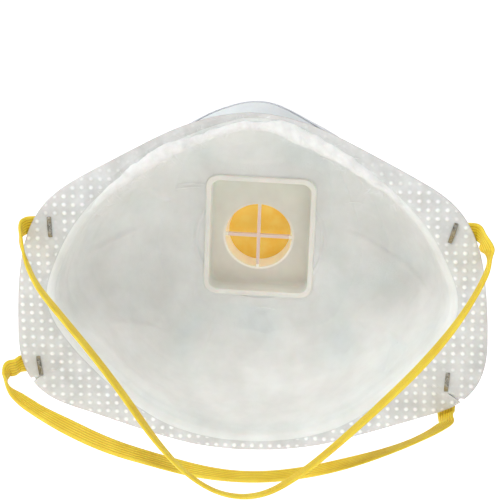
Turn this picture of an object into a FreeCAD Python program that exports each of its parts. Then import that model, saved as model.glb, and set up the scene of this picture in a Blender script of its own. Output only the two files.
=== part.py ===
import FreeCAD, Part
import math
import os

# Cup-shaped disposable dust mask with an exhalation valve and two elastic headbands.
# Millimetres. +Z is up (nose), the front with the valve cover faces -Y, the face side opens
# to +Y, +X is the wearer's left. The origin is the middle of the face-seal plane.

V = FreeCAD.Vector

# ---------------------------------------------------------------- driving dimensions
# Outline of the flange and of the cup's opening, right half, from the nose to the chin (x, z).
RIM_HALF = [(0, 51.5), (12, 49.9), (23, 46.2), (36, 39.8), (50, 32.3), (60, 25), (66, 15.5),
            (69.3, 2), (70.5, -14), (69.6, -27), (64.5, -36), (54, -41.5), (38, -47),
            (20, -52.5), (0, -54.5)]
MOUTH_HALF = [(0, 48.3), (12, 44.8), (25, 37.5), (38, 28.5), (49, 17), (56, 4), (58.5, -6),
              (53, -18.5), (42, -31), (29, -41.5), (14, -47.8), (0, -49.6)]

CUP_DEPTH = 40.0            # face-seal plane to the inside of the flat that carries the valve
CUP_FULLNESS = 2.4          # exponent of the wall's curve: 2 is an ellipse, more is boxier
FOLD_RADIUS = 5.0           # rounding between the flange and the cup's wall
FOLD_SHARE = 0.75           # at most this share of the flange's width
NOSE_DIP = 4.0              # how far the nose stretch of the rim stands forward
NOSE_BULGE = 2.0            # how far the wall swells over the nose
NOSE_BULGE_DEPTH = 22.0     # and to what depth behind the fold
VALVE_FLAT = 3.5            # flat margin round the valve hole
HOLE_HALF = (17.9, 20.4)    # half width and half height of the valve hole
HOLE_SQUARENESS = 10.0      # exponent of its outline
RING_POINTS = 56            # points round each ring of the cup

LAYER_GAP = 0.04
LINER_THICK = 0.30
SHELL_THICK = 0.60
FILTER_THICK = 0.40
COVER_THICK = 0.25
LINER_START = 1.2           # the liner begins this far round the fold
FILTER_INSET = 0.8          # filter and cover stop short of the flange's edge
COVER_INSET = 0.1

CLIP_ANGLE = 46.0           # the nose clip spans this far each side of the nose
CLIP_START = 11.0           # along the wall, from the fold
CLIP_WIDTH = 5.0
CLIP_THICK = 0.6
GLUE_THICK = 0.1
GLUE_INSET = 0.4            # glue line inside the clip's long edges
GLUE_END_ANGLE = 1.0        # and inside its ends
FOAM_ANGLE = 50.0
FOAM_START = 1.8
FOAM_WIDTH = 10.0
FOAM_THICK = 2.2
FOAM_FIT = 0.45

BAND_WIDTH = 5.5
BAND_THICK = 0.9
BAND_TUBE = 2.5             # a round section of the band's own area
BAND_BEND_ROUND = 0.8
STAPLE_WIRE = 1.3
STAPLE_THICK = 0.5
STAPLE_SPAN = 6.6
STAPLE_CLINCH = 2.3

UPPER_STAPLE = (59.5, 16.8)
LOWER_STAPLE_LEFT = (64.5, -28.0)
LOWER_STAPLE_RIGHT = (-58.8, -30.5)
TAB_INSIDE = 3.0            # how far a band reaches past its staple
EDGE_GAP = 1.2              # from the flange's edge to the band that bends round it
CHIN_EDGE_GAP = 0.2         # the same at the lower right staple, where the band is pulled down
CHIN_EDGE_SLACK = 1.0       # the slanting chin edge passes under the band's outer corner
END_BELOW_LOOP = 1.4        # a stapled end stops this far short of its loop

# Routes of the free loops, from the hinge at +X to the hinge at -X. The hinges are just
# behind the flange's edge, on its face side.
UPPER_ROUTE = [(67.8, 1.6, 16.8), (67.7, 3.8, 15.4), (66.8, 5.4, 10.6), (63.0, 9.5, 2.5),
               (54.0, 16.0, -5.5), (44.5, 24.0, -13.0), (34.5, 31.0, -23.0),
               (25.5, 36.5, -34.0), (16.0, 40.0, -43.5), (5.5, 42.0, -49.0),
               (-6.0, 42.0, -49.0), (-17.0, 39.5, -42.8), (-28.5, 35.0, -34.0),
               (-40.5, 28.5, -24.5), (-51.5, 20.5, -16.0), (-61.5, 12.5, -6.0),
               (-68.7, 6.8, 5.0), (-70.6, 4.3, 10.8), (-68.6, 3.8, 15.4),
               (-67.8, 1.6, 16.8)]
LOWER_ROUTE = [(71.8, 1.6, -28.0), (74.0, 2.7, -27.8), (74.6, 5.6, -31.6),
               (67.0, 10.5, -36.0), (56.0, 16.5, -39.2), (41.5, 23.0, -43.0),
               (26.5, 28.0, -45.0), (11.0, 31.0, -47.5), (-4.0, 32.0, -48.0),
               (-19.0, 30.5, -46.5), (-33.0, 26.0, -44.5), (-45.0, 19.5, -43.0),
               (-53.5, 12.5, -42.0), (-58.6, 6.5, -41.2), (-58.8, 2.8, -41.8)]

# Valve. The port's axis is parallel to Y; the tray, plate and cover have their middle above
# the flap's by VALVE_RAISE.
VALVE_RAISE = 1.1
RAISE_DEPTH = 22.0          # the cup's wall leans up to follow from this depth on
SEAT_TURN = 2.5             # degrees the tray and its spokes sit askew
TRAY_HALF = (17.3, 19.8)    # half width and half height
TRAY_WALL = 1.7
TRAY_CORNER = 4.0
TRAY_FLOOR_ROUND = 1.2
LIP_ROUND = 0.45
TRAY_PROUD = 2.0            # the tray's lip above the liner
TRAY_FLOOR_Y = -45.5
FLOOR_THICK = 1.2
SEAT_Y = -51.0              # plane on which the flap rests
PORT_X = 0.8
PORT_Z = -1.0
PORT_RADIUS = 9.8           # where the flap closes it
PORT_MOUTH = 10.6           # at the tray's floor
PORT_WALL = 1.7
SPOKE_WIDTH = 1.0
PLATE_HALF = (21.5, 24.0)
PLATE_CORNER = 9.0
PLATE_THICK = 1.2
FLAP_HALF = 12.0
FLAP_THICK = 0.45
FLAP_TOP = 12.0             # height of the flap's hinge line
FLAP_BOTTOM = -12.6
FLAP_ROOT_TOP = 16.2
FLAP_CORNER = 3.0
PIN_RADIUS = 0.8
PIN_X = 8.0
COVER_FRONT_Y = -59.6
COVER_WALL = 1.2
COVER_TAPER = 2.0
COVER_ROUND = 2.5
SLOT_RIB = 1.6
CHIN_SLOTS = 3              # vents in the cover's lower wall
CHIN_SLOT_WIDTH = 8.0
CHIN_SLOT_Y = (-56.0, -45.5)
SIDE_SLOTS = 4              # vents in each of its side walls
SIDE_SLOT_WIDTH = 4.2
SIDE_SLOT_BOTTOM = -15.0
SIDE_SLOT_Y = (-55.0, -47.0)
FIT = 0.05                  # clearance between touching pieces
NEAR = 0.01                 # tolerance for picking edges and faces by position

FLANGE_INNER_Y = -(LINER_THICK + LAYER_GAP)
STACK = LINER_THICK + SHELL_THICK + FILTER_THICK + COVER_THICK + 3 * LAYER_GAP
BAND_Y = -(STACK + 2 * FIT) # inner face of a stapled band end
UP = 90.0


# ---------------------------------------------------------------- the cup's surface
def closed_outline(half):
    """Radius of a mirrored closed outline at any angle, as a function."""
    right = [V(x, 0, z) for x, z in half]
    left = [V(-x, 0, z) for x, z in reversed(half[1:-1])]
    curve = Part.BSplineCurve()
    curve.interpolate(Points=right + left, PeriodicFlag=True)
    samples = []
    count = 720
    first, last = curve.FirstParameter, curve.LastParameter
    for i in range(count):
        point = curve.value(first + (last - first) * i / count)
        samples.append((math.atan2(point.z, point.x), math.hypot(point.x, point.z)))
    samples.sort()
    samples = [(samples[-1][0] - 2 * math.pi, samples[-1][1])] + samples
    samples.append((samples[1][0] + 2 * math.pi, samples[1][1]))

    def radius(angle):
        angle = math.atan2(math.sin(angle), math.cos(angle))
        low, high = 0, len(samples) - 1
        while high - low > 1:
            middle = (low + high) // 2
            if samples[middle][0] <= angle:
                low = middle
            else:
                high = middle
        (a0, r0), (a1, r1) = samples[low], samples[high]
        return r0 + (r1 - r0) * (angle - a0) / (a1 - a0)
    return radius


rim_radius = closed_outline(RIM_HALF)
mouth_radius = closed_outline(MOUTH_HALF)


def hole_radius(angle):
    angle -= math.radians(SEAT_TURN)
    across = abs(math.cos(angle)) / HOLE_HALF[0]
    upright = abs(math.sin(angle)) / HOLE_HALF[1]
    return (across ** HOLE_SQUARENESS + upright ** HOLE_SQUARENESS) ** (-1 / HOLE_SQUARENESS)


def base_point(angle, u, inset=0.0):
    """The liner's inner surface. u is 0 at the rim, 1 to 2 round the fold, 3 at the flat round
    the valve and 4 at the edge of the valve hole."""
    rim, mouth = rim_radius(angle), mouth_radius(angle)
    fold = min(FOLD_RADIUS, FOLD_SHARE * (rim - mouth))
    flat = hole_radius(angle) + VALVE_FLAT
    if u <= 1:
        start = rim - inset
        radius, depth = start + (mouth + fold - start) * u, 0.0
    elif u <= 2:
        turn = (u - 1) * math.pi / 2
        radius = mouth + fold * (1 - math.sin(turn))
        depth = fold * (1 - math.cos(turn))
    elif u <= 3:
        turn = (u - 2) * math.pi / 2
        power = 2 / CUP_FULLNESS
        radius = flat + (mouth - flat) * max(math.cos(turn), 0.0) ** power
        depth = fold + (CUP_DEPTH - fold) * math.sin(turn) ** power
    else:
        radius, depth = flat - VALVE_FLAT * (u - 3), CUP_DEPTH
    nose = max(0.0, math.sin(angle))
    swell = min(1.0, max(0.0, depth - fold) / NOSE_BULGE_DEPTH)
    radius += NOSE_BULGE * nose ** 8 * math.sin(math.pi * swell) ** 2
    dip = NOSE_DIP * nose ** 4 * (1 - depth / CUP_DEPTH)
    lift = VALVE_RAISE * max(0.0, (depth - RAISE_DEPTH) / (CUP_DEPTH - RAISE_DEPTH)) ** 2
    return V(radius * math.cos(angle), -depth - dip, radius * math.sin(angle) + lift)


def outward(angle, u):
    """The unit normal of the liner's surface, away from the face."""
    step = 0.01
    low, high = max(u - step, 0.0), min(u + step, 4.0)
    along = base_point(angle, high) - base_point(angle, low)
    around = base_point(angle + step, u) - base_point(angle - step, u)
    normal = around.cross(along)
    normal.normalize()
    return normal


def skin_point(angle, u, offset, inset=0.0):
    """A point at a distance outside the liner's inner surface."""
    return base_point(angle, u, inset) + outward(angle, u) * offset


def section_point(angle, u, offset):
    """The same distance from the surface, but in the upright plane through the Y axis."""
    step = 0.01
    along = base_point(angle, u + step) - base_point(angle, u - step)
    across = V(-math.sin(angle), 0, math.cos(angle))
    normal = across.cross(along)
    normal.normalize()
    return base_point(angle, u) + normal * (offset / normal.dot(outward(angle, u)))


def ring(u, offset, inset=0.0):
    points = [skin_point(2 * math.pi * i / RING_POINTS, u, offset, inset)
              for i in range(RING_POINTS)]
    curve = Part.BSplineCurve()
    curve.interpolate(Points=points, PeriodicFlag=True)
    return curve.toShape()


FLANGE_STEPS = [0, 0.5, 1]
FOLD_STEPS = [1.33, 1.67, 2]
WALL_STEPS = [2.05, 2.14, 2.26, 2.4, 2.54, 2.68, 2.84, 3, 4]


def cup_layer(inner, outer, steps, inset=0.0):
    """A closed thin layer of the cup between two distances from the liner's inner surface."""
    rings = [ring(u, inner, inset if u == 0 else 0.0) for u in steps]
    rings += [ring(u, outer, inset if u == 0 else 0.0) for u in reversed(steps)]
    faces = []
    for i, edge in enumerate(rings):
        faces.append(Part.makeRuledSurface(edge, rings[(i + 1) % len(rings)]))
    shell = Part.makeShell(faces)
    shell.sewShape()
    solid = Part.makeSolid(Part.Shell(shell.Faces))
    if solid.Volume < 0:
        solid.reverse()
    return solid


def u_along_wall(angle, distance):
    """Where a tape laid from the fold down the wall has run the given distance."""
    u, length, step = 1.6, 0.0, 0.004
    here = base_point(angle, u)
    while length < distance:
        u += step
        there = base_point(angle, u)
        length += (there - here).Length
        here = there
    return u


def nose_strip(half_angle, start, width, inner, outer):
    """A strip that follows the wall round the nose."""
    sections = []
    count = 12
    for i in range(count + 1):
        angle = math.radians(UP - half_angle + 2 * half_angle * i / count)
        stops = [u_along_wall(angle, start + width * part) for part in (0, 0.25, 0.5, 0.75, 1)]
        corners = [section_point(angle, u, inner) for u in stops]
        corners += [section_point(angle, u, outer) for u in reversed(stops)]
        sections.append(Part.makePolygon(corners + corners[:1]))
    return Part.makeLoft(sections, True, False)


# ---------------------------------------------------------------- small shapes
def box(x0, x1, y0, y1, z0, z1):
    return Part.makeBox(x1 - x0, y1 - y0, z1 - z0, V(x0, y0, z0))


def rounded_block(half, corner, y0, y1):
    """A rectangular block about the valve's middle with its four long edges rounded."""
    block = box(-half[0], half[0], y0, y1, VALVE_RAISE - half[1], VALVE_RAISE + half[1])
    edges = [e for e in block.Edges
             if abs(e.Vertexes[0].Point.y - e.Vertexes[-1].Point.y) > 0.5 * (y1 - y0)]
    return block.makeFillet(corner, edges)


def edges_at(shape, y):
    """The edges of a shape that lie at one depth."""
    return [e for e in shape.Edges if abs(e.BoundBox.YMin - y) < NEAR
            and abs(e.BoundBox.YMax - y) < NEAR]


def shrunk(half, by):
    return half[0] - by, half[1] - by


def rod(radius, y0, y1, x=0.0, z=0.0):
    return Part.makeCylinder(radius, y1 - y0, V(x, y0, z), V(0, 1, 0))


def cord_path(points):
    """Straight runs joined by tangent arcs, each as large as its two runs allow."""
    points = [V(*p) for p in points]
    edges, radii = [], []
    start = points[0]
    for i in range(1, len(points) - 1):
        back, ahead = points[i - 1] - points[i], points[i + 1] - points[i]
        shorter = min(back.Length, ahead.Length)
        back.normalize()
        ahead.normalize()
        turn = math.pi - back.getAngle(ahead)
        trim = 0.45 * shorter
        radius = trim / math.tan(turn / 2)
        radii.append(round(radius, 1))
        arc_start, arc_end = points[i] + back * trim, points[i] + ahead * trim
        bisector = back + ahead
        bisector.normalize()
        centre = points[i] + bisector * math.hypot(radius, trim)
        middle = centre - bisector * radius
        edges.append(Part.LineSegment(start, arc_start).toShape())
        edges.append(Part.Arc(arc_start, middle, arc_end).toShape())
        start = arc_end
    edges.append(Part.LineSegment(start, points[-1]).toShape())
    return Part.Wire(edges), radii


def cord_tube(name, points):
    path, radii = cord_path(points)
    first = V(*points[1]) - V(*points[0])
    section = Part.Wire(Part.makeCircle(BAND_TUBE / 2, V(*points[0]), first))
    tube = path.makePipeShell([section], True, False)
    area = math.pi * BAND_TUBE ** 2 / 4
    print(name, "length", round(path.Length, 1), "radii", radii,
          "volume over section x length", round(tube.Volume / area / path.Length, 3))
    return tube


def bent_band(run, rise):
    """A stapled band end in its own plane: along +X in front of the flange, then back round
    its edge up to y = rise. The staple is at x = 0, and the inside of the bend at x = run."""
    back = BAND_Y - BAND_THICK
    outer = run + BAND_THICK
    half = BAND_WIDTH / 2
    flat = box(-TAB_INSIDE, outer, back, BAND_Y, -half, half)
    hook = box(run, outer, back, rise, -half, half)
    band = flat.fuse(hook).removeSplitter()
    corner = [e for e in band.Edges if abs(e.BoundBox.XMin - outer) < NEAR
              and abs(e.BoundBox.XMax - outer) < NEAR
              and abs(e.BoundBox.YMin - back) < NEAR
              and abs(e.BoundBox.YMax - back) < NEAR]
    return band.makeFillet(BAND_BEND_ROUND, corner)


def placed(shape, x, z, turn):
    """Turn a shape about the Y axis by an angle in degrees and move it to (x, z)."""
    shape = shape.copy()
    shape.rotate(V(0, 0, 0), V(0, 1, 0), turn)
    shape.translate(V(x, 0, z))
    return shape


def staple(x, z):
    """A flat-wire staple, its crown on the face side and its legs clinched on the front."""
    wide, thick, half = STAPLE_WIRE / 2, STAPLE_THICK, STAPLE_SPAN / 2
    top = FLANGE_INNER_Y + FIT + thick
    bottom = BAND_Y - BAND_THICK - FIT - thick
    body = box(-wide, wide, top - thick, top, -half, half)
    for side in (-1, 1):
        leg = sorted([side * half, side * (half - thick)])
        foot = sorted([side * half, side * (half - STAPLE_CLINCH)])
        body = body.fuse(box(-wide, wide, bottom, top, leg[0], leg[1]))
        body = body.fuse(box(-wide, wide, bottom, bottom + thick, foot[0], foot[1]))
    body = body.removeSplitter()
    body.translate(V(x, 0, z))
    return body


# ---------------------------------------------------------------- valve
def turned(shape, z):
    """Set a shape askew about an axis parallel to Y at height z."""
    shape.rotate(V(0, 0, z), V(0, 1, 0), -SEAT_TURN)
    return shape


def valve_seat():
    lip = -CUP_DEPTH + TRAY_PROUD
    floor_back = TRAY_FLOOR_Y - FLOOR_THICK
    tray = rounded_block(TRAY_HALF, TRAY_CORNER, floor_back, lip)
    inside = shrunk(TRAY_HALF, TRAY_WALL)
    hollow = rounded_block(inside, TRAY_CORNER - 1, TRAY_FLOOR_Y, lip + 1)
    tray = tray.cut(hollow.makeFillet(TRAY_FLOOR_ROUND, edges_at(hollow, TRAY_FLOOR_Y)))
    tray = turned(tray.makeFillet(LIP_ROUND, edges_at(tray, lip)), VALVE_RAISE)
    plate_y = -(CUP_DEPTH + STACK + FIT)
    plate = rounded_block(PLATE_HALF, PLATE_CORNER, plate_y - PLATE_THICK, plate_y)
    opening = turned(rounded_block(inside, TRAY_CORNER - 1, plate_y - 2 * PLATE_THICK, lip),
                     VALVE_RAISE)
    tray = tray.fuse(plate.cut(opening))
    tray = tray.fuse(rod(PORT_RADIUS + PORT_WALL, SEAT_Y, floor_back, PORT_X, PORT_Z))
    tray = tray.fuse(box(-FLAP_HALF, FLAP_HALF, SEAT_Y, floor_back, FLAP_TOP, FLAP_ROOT_TOP))
    tray = tray.cut(rod(PORT_RADIUS, SEAT_Y - 1, TRAY_FLOOR_Y, PORT_X, PORT_Z))
    tray = tray.cut(Part.makeCone(PORT_RADIUS, PORT_MOUTH, TRAY_FLOOR_Y - SEAT_Y,
                                  V(PORT_X, SEAT_Y, PORT_Z), V(0, 1, 0)))
    reach = PORT_MOUTH + PORT_WALL / 4
    half = SPOKE_WIDTH / 2
    spokes = box(-reach, reach, floor_back, TRAY_FLOOR_Y, -half, half)
    spokes = turned(spokes.fuse(box(-half, half, floor_back, TRAY_FLOOR_Y, -reach, reach)), 0)
    spokes.translate(V(PORT_X, 0, PORT_Z))
    tray = tray.fuse(spokes)
    pin_z = (FLAP_TOP + FLAP_ROOT_TOP) / 2
    for x in (-PIN_X, PIN_X):
        tray = tray.fuse(rod(PIN_RADIUS, SEAT_Y - FLAP_THICK, SEAT_Y, x, pin_z))
    return tray.removeSplitter()


def valve_flap():
    top = SEAT_Y - FIT
    flap = box(-FLAP_HALF, FLAP_HALF, top - FLAP_THICK, top, FLAP_BOTTOM, FLAP_TOP - FIT)
    corners = [e for e in flap.Edges
               if abs(e.Vertexes[0].Point.y - e.Vertexes[-1].Point.y) > 0.1
               and e.Vertexes[0].Point.z < 0]
    return flap.makeFillet(FLAP_CORNER, corners)


def valve_flap_root():
    top = SEAT_Y - FIT
    root = box(-FLAP_HALF, FLAP_HALF, top - FLAP_THICK, top, FLAP_TOP + FIT, FLAP_ROOT_TOP)
    pin_z = (FLAP_TOP + FLAP_ROOT_TOP) / 2
    for x in (-PIN_X, PIN_X):
        root = root.cut(rod(PIN_RADIUS + FIT, top - 1, top + 1, x, pin_z))
    return root


def tapered_block(base, front, corner, y0, y1):
    """A rectangular block that narrows from base at y0 to front at y1."""
    wires = []
    for half, y in ((base, y0), (front, y1)):
        block = rounded_block(half, corner, y - 1, y)
        face = [f for f in block.Faces if abs(f.CenterOfMass.y - y) < NEAR][0]
        wires.append(face.OuterWire)
    return Part.makeLoft(wires, True, True)


def valve_cover():
    base_y = -(CUP_DEPTH + STACK + FIT + PLATE_THICK + FIT)
    inner_front = COVER_FRONT_Y + COVER_WALL
    outer = tapered_block(PLATE_HALF, shrunk(PLATE_HALF, COVER_TAPER), PLATE_CORNER,
                          base_y, COVER_FRONT_Y)
    outer = outer.makeFillet(COVER_ROUND, edges_at(outer, COVER_FRONT_Y))
    inner = tapered_block(shrunk(PLATE_HALF, COVER_WALL),
                          shrunk(PLATE_HALF, COVER_WALL + COVER_TAPER),
                          PLATE_CORNER - COVER_WALL, base_y + NEAR, inner_front)
    cover = outer.cut(inner)
    clamp = box(-FLAP_HALF, FLAP_HALF, inner_front - COVER_WALL / 2,
                SEAT_Y - FLAP_THICK - 2 * FIT, FLAP_TOP + 2 * FIT, FLAP_ROOT_TOP)
    cover = cover.fuse(clamp)
    within = shrunk(PLATE_HALF, COVER_TAPER + 2 * COVER_WALL)
    beyond = shrunk(PLATE_HALF, -COVER_WALL)
    first = -(CHIN_SLOTS * CHIN_SLOT_WIDTH + (CHIN_SLOTS - 1) * SLOT_RIB) / 2
    for i in range(CHIN_SLOTS):
        left = first + i * (CHIN_SLOT_WIDTH + SLOT_RIB)
        cover = cover.cut(box(left, left + CHIN_SLOT_WIDTH, *CHIN_SLOT_Y,
                              VALVE_RAISE - beyond[1], VALVE_RAISE - within[1]))
    for i in range(SIDE_SLOTS):
        low = SIDE_SLOT_BOTTOM + i * (SIDE_SLOT_WIDTH + SLOT_RIB)
        for x0, x1 in ((-beyond[0], -within[0]), (within[0], beyond[0])):
            cover = cover.cut(box(x0, x1, *SIDE_SLOT_Y, low, low + SIDE_SLOT_WIDTH))
    return cover.removeSplitter()


# ---------------------------------------------------------------- the model
def save(name, shape):
    if not shape.isValid() or shape.Volume <= 0:
        print("BAD SHAPE", name, shape.isValid(), shape.Volume)
    shape.exportStep(os.path.join("parts", name + ".step"))
    bounds = shape.BoundBox
    print(name, "solids", len(shape.Solids), "volume", round(shape.Volume, 1),
          "x", round(bounds.XMin, 1), round(bounds.XMax, 1),
          "y", round(bounds.YMin, 1), round(bounds.YMax, 1),
          "z", round(bounds.ZMin, 1), round(bounds.ZMax, 1))


def edge_run(staple_at, towards):
    """Distance from a staple to the flange's edge in a direction (x, z)."""
    run, step = 0.0, 0.1
    x, z = staple_at
    while math.hypot(x, z) < rim_radius(math.atan2(z, x)):
        x, z, run = x + towards[0] * step, z + towards[1] * step, run + step
    return run


def headband_ends():
    """The stapled ends of both bands: three bend round the flange's sides, and the lower
    right one round its bottom edge."""
    rise = UPPER_ROUTE[0][1] - END_BELOW_LOOP
    upper_run = edge_run(UPPER_STAPLE, (1, 0)) + EDGE_GAP
    left_run = edge_run(LOWER_STAPLE_LEFT, (1, 0)) + EDGE_GAP
    chin_run = edge_run(LOWER_STAPLE_RIGHT, (0, -1)) + CHIN_EDGE_SLACK + CHIN_EDGE_GAP
    chin_rise = LOWER_ROUTE[-1][1] - BAND_TUBE / 2 - END_BELOW_LOOP
    x, z = UPPER_STAPLE
    upper_end = bent_band(upper_run, rise)
    upper = [placed(upper_end, x, z, 0), placed(upper_end, -x, z, 180)]
    lower = [placed(bent_band(left_run, rise), *LOWER_STAPLE_LEFT, 0),
             placed(bent_band(chin_run, chin_rise), *LOWER_STAPLE_RIGHT, 90)]
    return Part.makeCompound(upper), Part.makeCompound(lower)


def main():
    os.makedirs("parts", exist_ok=True)

    staples = {
        "staple_upper_left": staple(*UPPER_STAPLE),
        "staple_upper_right": staple(-UPPER_STAPLE[0], UPPER_STAPLE[1]),
        "staple_lower_left": staple(*LOWER_STAPLE_LEFT),
        "staple_lower_right": staple(*LOWER_STAPLE_RIGHT),
    }
    fasteners = Part.makeCompound(list(staples.values()))

    shell_at = LINER_THICK + LAYER_GAP
    filter_at = shell_at + SHELL_THICK + LAYER_GAP
    cover_at = filter_at + FILTER_THICK + LAYER_GAP
    whole = FLANGE_STEPS + FOLD_STEPS + WALL_STEPS
    save("inner_liner", cup_layer(0, LINER_THICK, [LINER_START] + FOLD_STEPS + WALL_STEPS))
    save("stiffening_shell",
         cup_layer(shell_at, shell_at + SHELL_THICK, whole).cut(fasteners))
    save("filter_layer",
         cup_layer(filter_at, filter_at + FILTER_THICK, whole, FILTER_INSET).cut(fasteners))
    save("outer_cover",
         cup_layer(cover_at, cover_at + COVER_THICK, whole, COVER_INSET).cut(fasteners))

    glue_at = cover_at + COVER_THICK + FIT
    save("nose_clip_adhesive",
         nose_strip(CLIP_ANGLE - GLUE_END_ANGLE, CLIP_START + GLUE_INSET,
                    CLIP_WIDTH - 2 * GLUE_INSET, glue_at, glue_at + GLUE_THICK))
    clip_at = glue_at + GLUE_THICK + 2 * FIT
    save("nose_clip",
         nose_strip(CLIP_ANGLE, CLIP_START, CLIP_WIDTH, clip_at, clip_at + CLIP_THICK))
    save("nose_foam",
         nose_strip(FOAM_ANGLE, FOAM_START, FOAM_WIDTH, -FOAM_FIT - FOAM_THICK, -FOAM_FIT))

    for name, shape in staples.items():
        save(name, shape)

    upper_ends, lower_ends = headband_ends()
    save("upper_headband_ends", upper_ends.cut(fasteners))
    save("lower_headband_ends", lower_ends.cut(fasteners))
    save("upper_headband", cord_tube("upper_headband", UPPER_ROUTE))
    save("lower_headband", cord_tube("lower_headband", LOWER_ROUTE))

    save("valve_seat", valve_seat())
    save("valve_flap", valve_flap())
    save("valve_flap_root", valve_flap_root())
    save("valve_cover", valve_cover())


main()
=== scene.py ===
import math
import random

import bpy
from mathutils import Matrix, Vector, noise
from mathutils.bvhtree import BVHTree


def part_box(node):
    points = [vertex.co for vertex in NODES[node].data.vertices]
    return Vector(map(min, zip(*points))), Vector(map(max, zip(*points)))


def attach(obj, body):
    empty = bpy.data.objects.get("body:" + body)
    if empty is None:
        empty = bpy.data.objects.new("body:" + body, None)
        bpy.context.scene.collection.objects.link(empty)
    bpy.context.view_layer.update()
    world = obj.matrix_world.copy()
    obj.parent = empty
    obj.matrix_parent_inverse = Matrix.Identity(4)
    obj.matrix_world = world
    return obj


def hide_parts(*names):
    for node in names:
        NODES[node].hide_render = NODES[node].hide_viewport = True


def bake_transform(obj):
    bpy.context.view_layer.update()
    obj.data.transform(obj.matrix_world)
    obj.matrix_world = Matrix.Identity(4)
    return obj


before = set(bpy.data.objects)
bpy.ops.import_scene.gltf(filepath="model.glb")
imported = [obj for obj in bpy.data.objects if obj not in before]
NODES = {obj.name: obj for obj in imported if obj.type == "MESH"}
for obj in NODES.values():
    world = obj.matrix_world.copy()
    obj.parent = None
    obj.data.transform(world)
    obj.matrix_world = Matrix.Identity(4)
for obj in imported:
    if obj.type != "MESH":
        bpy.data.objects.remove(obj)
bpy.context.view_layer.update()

# A cup-shaped disposable dust mask seen from the face side. Metres, in the frame of the CAD
# parts: +Z up (nose), -Y out of the valve, +Y towards the face, +X the wearer's left.

MM = 0.001
TURN = 2 * math.pi
UP = math.radians(90)
random.seed(7)
noise.seed_set(7)                         # the vectors of noise start from the clock otherwise

# ---------------------------------------------------------------- driving dimensions
CAMERA_AZIMUTH = math.radians(184.5)      # 0 looks along +Y
CAMERA_ELEVATION = math.radians(20.0)
CAMERA_ROLL = math.radians(-0.6)
CAMERA_DISTANCE = 0.600
CAMERA_AIM = Vector((0.0, 0.0, 0.0107))
CAMERA_LENS = 146.4

DOT_PITCH = (2.75 * MM, 2.65 * MM)        # bonding dots of the flange, along X and Z
DOT_RADIUS = 0.82 * MM
DOT_HEIGHT = 0.30 * MM
DOT_STRAY = 0.12 * MM                     # a dot lies off its place by up to about this
NOSE_FADE = (22 * MM, 40 * MM)            # the dots fade out towards the nose
STAPLE_FADE = (1.5 * MM, 4.5 * MM)        # and round the staples

# Steps of the meshes round the mask and across each web.
FLANGE_ANGLES = 1400
FLANGE_RINGS = 36
WALL_RINGS = 22
LINER_ANGLES = 420
COVER_ANGLES = 900
DOME_RINGS = 64
CORNER_RINGS = 44
LINER_RINGS = 140
FOLD_RINGS = 14

FLANGE_WEB_THICK = 0.58 * MM
MOUTH_DROP = 1.5 * MM                     # the mouth is where the flange has sunk this much
FOLD_OUT = 2.2 * MM                       # the flat flange ends this far outside the mouth
FOLD_TILT = math.radians(93)              # the shell's inner wall is measured from here on
# The fold and the cover's corner are measured along lines from a point this far from the
# mouth: inward and back for the fold, outward and ahead for the corner.
FOLD_WATCH = 4 * MM
CORNER_WATCH = (10 * MM, 12 * MM)
EDGE_REACH = 2.0 * MM                     # the liner's edge lies this far out on the flange
LINER_BACK, COVER_BACK = 0.25 * MM, 0.24 * MM  # how far each web's rear lies behind its skin
PILE_UP = 1.3 * MM                        # the liner rises against the tray's wall
SKIRT = 1.0 * MM                          # and is tucked in along it
WELD_RING = (20.6 * MM, 0.5 * MM, 0.45 * MM)   # radius, half width, height
ROLL_FROM, ROLL_TO = math.radians(24), math.radians(152)
ROLL_RADIUS = 1.9 * MM
ROLL_WIDEN = 1.45                         # the roll is this much wider than it is high
ROLL_GAP = (math.radians(66), math.radians(97))   # the roll lies flat left of the nose
FIBRES = 520                              # loose fibres that stand out of the roll
THREAD_RADIUS, THREAD_LIFT = 0.13 * MM, 1.5 * MM

BAND_WIDTH = 5.5 * MM
BAND_THICK = 0.9 * MM
BAND_RIBS = 6
RIB_DEPTH = 0.11 * MM
BAND_TWIST = 9 * MM                       # length in which a band turns at its stapled ends

STAPLE_SECTION = (1.25 * MM, 0.5 * MM, 0.17 * MM)   # width, thickness and edge rounding
STAPLE_CORNER = 0.55 * MM
STAPLE_INWARD = 2.1 * MM                  # the clinched ends point inward by this much

CLIP_DROP = 0.055                         # radians that the strip sits further down the front
# Width (2 is the part's own), thickness, corner and lift off the cover of each, in
# millimetres but for the width.
CLIP_STRIP = (2.0, 0.6, 0.28, 0.55)
GLUE_STRIP = (1.9, 0.3, 0.1, 0.12)

SEAT_FLOOR = (-45.3 * MM, -41.0 * MM)     # depths between which the floor's painted shade turns into the lip's lighter colour
PORT_FRONT = -46.0 * MM                   # the wall of the port, painted cream as painted light, is in front of this depth
PORT_X, PORT_Z = 0.8 * MM, -1.0 * MM      # centre of the port
PORT_RING = (11.5 * MM, 11.0 * MM)        # the painted highlight ring round it and the painted light on its wall lie between these radii
SPOKE_SHADE_REACH = 9.7 * MM                    # and the spokes, painted pinkish grey as painted shade, lie inside this one
RING_HIGHLIGHT_FADE = (7.0 * MM, -5.0 * MM)         # the ring's painted highlight shows below the port, where light from above falls, not above it
FLAP_GRID = (40, 48)                      # columns and rows of the flap's mesh
FLAP_BUTTON = (0.25 * MM, 3.0 * MM, 3.8 * MM)   # height and radii of the flap's thick middle

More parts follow.
